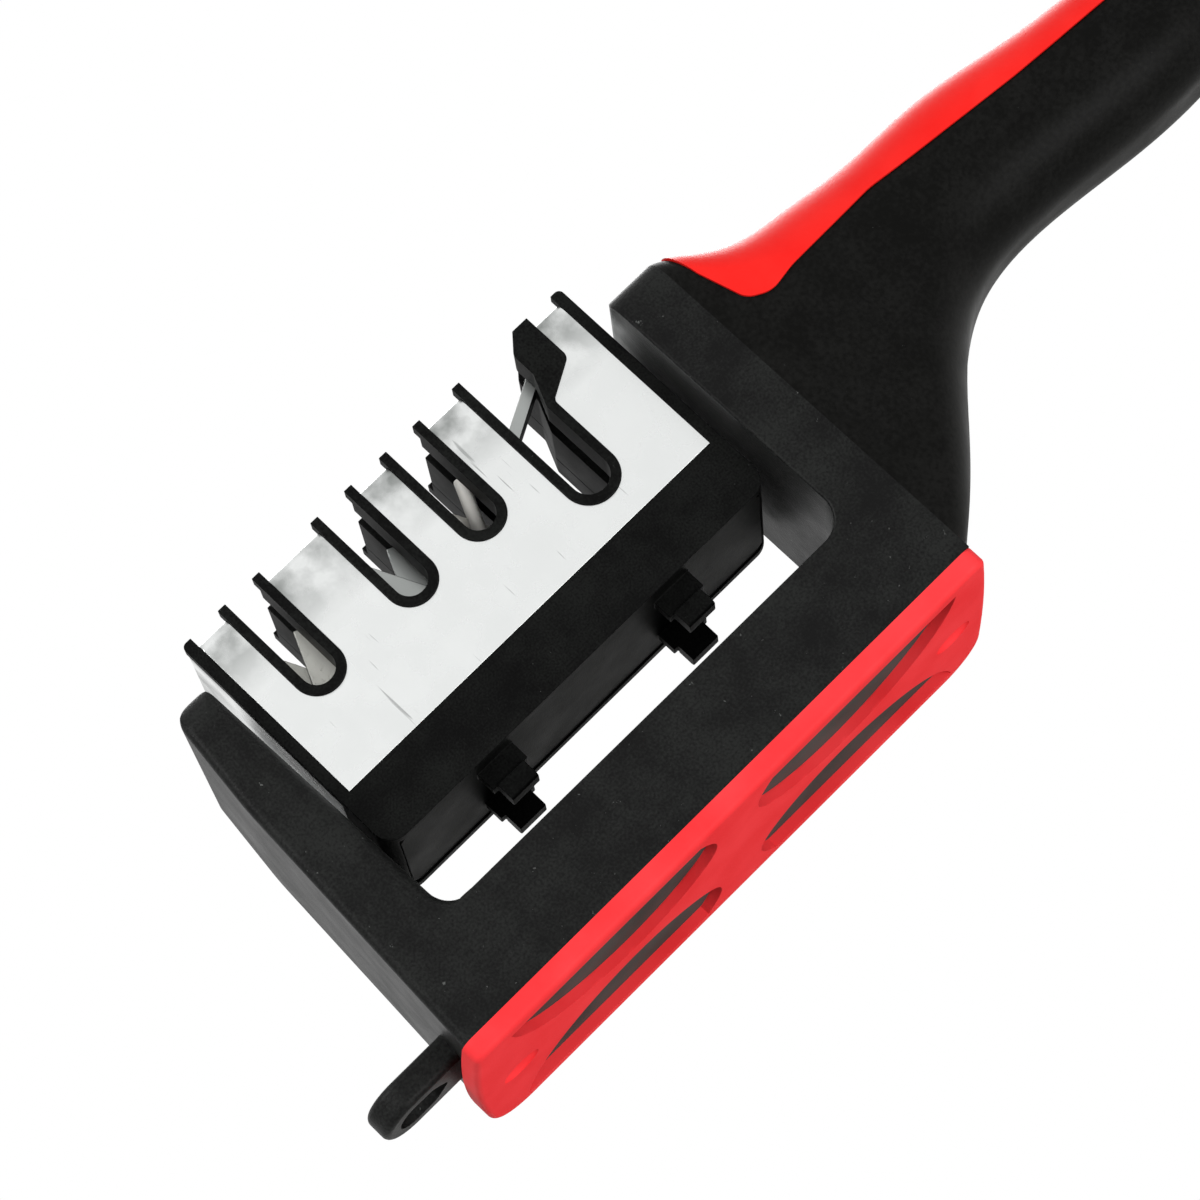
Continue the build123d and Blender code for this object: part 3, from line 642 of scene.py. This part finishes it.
for seed, plate_name in enumerate(("diamond_plate_left", "diamond_plate_right")):
    plate = bpy.data.objects[plate_name + "_dressed"]
    modifier_with_tree(plate, tree, {
        "Grain": one_grain, "Grains per area": GRAINS_PER_SQUARE_MM / MM ** 2, "Seed": seed,
        "Finish": materials["diamond_steel"]})
    print(plate_name, "faces with grit:", len(apply_modifiers(plate).polygons))
bpy.data.objects.remove(one_grain)

# %% [markdown]
# ## Pieces that need no dressing
# The ceramic rods are ground round, and the core lies hidden inside the grip. Their CAD
# shapes are right as they are, so they only take their materials.

# %% Paint the nodes that stay as they are
for node, cad in nodes.items():
    if node not in BEVELS and node != "housing_screws":
        cad.data.materials.clear()
        cad.data.materials.append(materials[slot_of_node[node]])
        print("kept from CAD:", node)

# %% [markdown]
# ## Floor, sky and lamps
# The tool stands on a pale floor in soft studio light. The photograph looks up from just
# below the sole, so the floor is clear to rays that meet its underside, to lamp light and to
# scattered light, and the pale sky shows the same white behind it.

# %% Build the stage
FLOOR_DROP = 0.3 * MM
FLOOR_SIZE = 6.0
FLOOR_COLOUR = "#ececea"
FLOOR_ROUGHNESS = 0.8
bpy.ops.mesh.primitive_plane_add(size=FLOOR_SIZE, location=(0, 0, -FLOOR_DROP))
floor = bpy.context.object
floor.name = "pale_floor"
floor_paint = bpy.data.materials.new("pale_studio_floor")
floor_paint.use_nodes = True
tree = floor_paint.node_tree
principled = tree.nodes["Principled BSDF"]
principled.inputs["Base Color"].default_value = linear(FLOOR_COLOUR)
principled.inputs["Roughness"].default_value = FLOOR_ROUGHNESS
geometry = add_node(tree, "ShaderNodeNewGeometry")
ray = add_node(tree, "ShaderNodeLightPath")
soft_ray = add_node(tree, "ShaderNodeMath", {0: ray.outputs["Is Shadow Ray"],
                    1: ray.outputs["Is Diffuse Ray"]}, operation="MAXIMUM")
clear_share = add_node(tree, "ShaderNodeMath", {0: soft_ray.outputs["Value"],
                       1: geometry.outputs["Backfacing"]}, operation="MAXIMUM")
clear = add_node(tree, "ShaderNodeBsdfTransparent")
mixed = add_node(tree, "ShaderNodeMixShader", {0: clear_share.outputs["Value"],
                 1: principled.outputs["BSDF"], 2: clear.outputs["BSDF"]})
tree.links.new(mixed.outputs["Shader"], tree.nodes["Material Output"].inputs["Surface"])
floor.data.materials.append(floor_paint)

SKY_LIGHT = 0.42
sky = bpy.data.worlds.new("pale_sky")
scene.world = sky
sky.use_nodes = True
tree = sky.node_tree
ray = add_node(tree, "ShaderNodeLightPath")
seen = add_node(tree, "ShaderNodeMath", {0: ray.outputs["Is Camera Ray"],
                1: ray.outputs["Is Glossy Ray"]}, operation="MAXIMUM")
seen = add_node(tree, "ShaderNodeMath", {0: seen.outputs["Value"],
                1: ray.outputs["Is Transmission Ray"]}, operation="MAXIMUM")
strength = add_node(tree, "ShaderNodeMapRange", {"Value": seen.outputs["Value"],
                    "To Min": SKY_LIGHT, "To Max": 1.0})
background = tree.nodes["Background"]
background.inputs["Color"].default_value = (1, 1, 1, 1)
tree.links.new(strength.outputs["Result"], background.inputs["Strength"])

OBJECT_MIDDLE = Vector((0.03, 0.0, 0.04))
LAMPS = (
    ("key_lamp", (-0.55, -0.75, 0.75), 0.6, 9.0),
    ("low_lamp", (0.25, -0.8, -0.7), 0.6, 9.0),
    ("back_lamp", (0.5, 0.9, 0.7), 0.8, 9.0),
)
for name, place, size, power in LAMPS:
    lamp = bpy.data.objects.new(name, bpy.data.lights.new(name, "AREA"))
    scene.collection.objects.link(lamp)
    lamp.location = place
    lamp.data.size = size
    lamp.data.energy = power
    lamp.rotation_euler = (OBJECT_MIDDLE - lamp.location).to_track_quat("-Z", "Y").to_euler()
scene.view_settings.view_transform = "Standard"
print("stage ready with", len(LAMPS), "lamps")
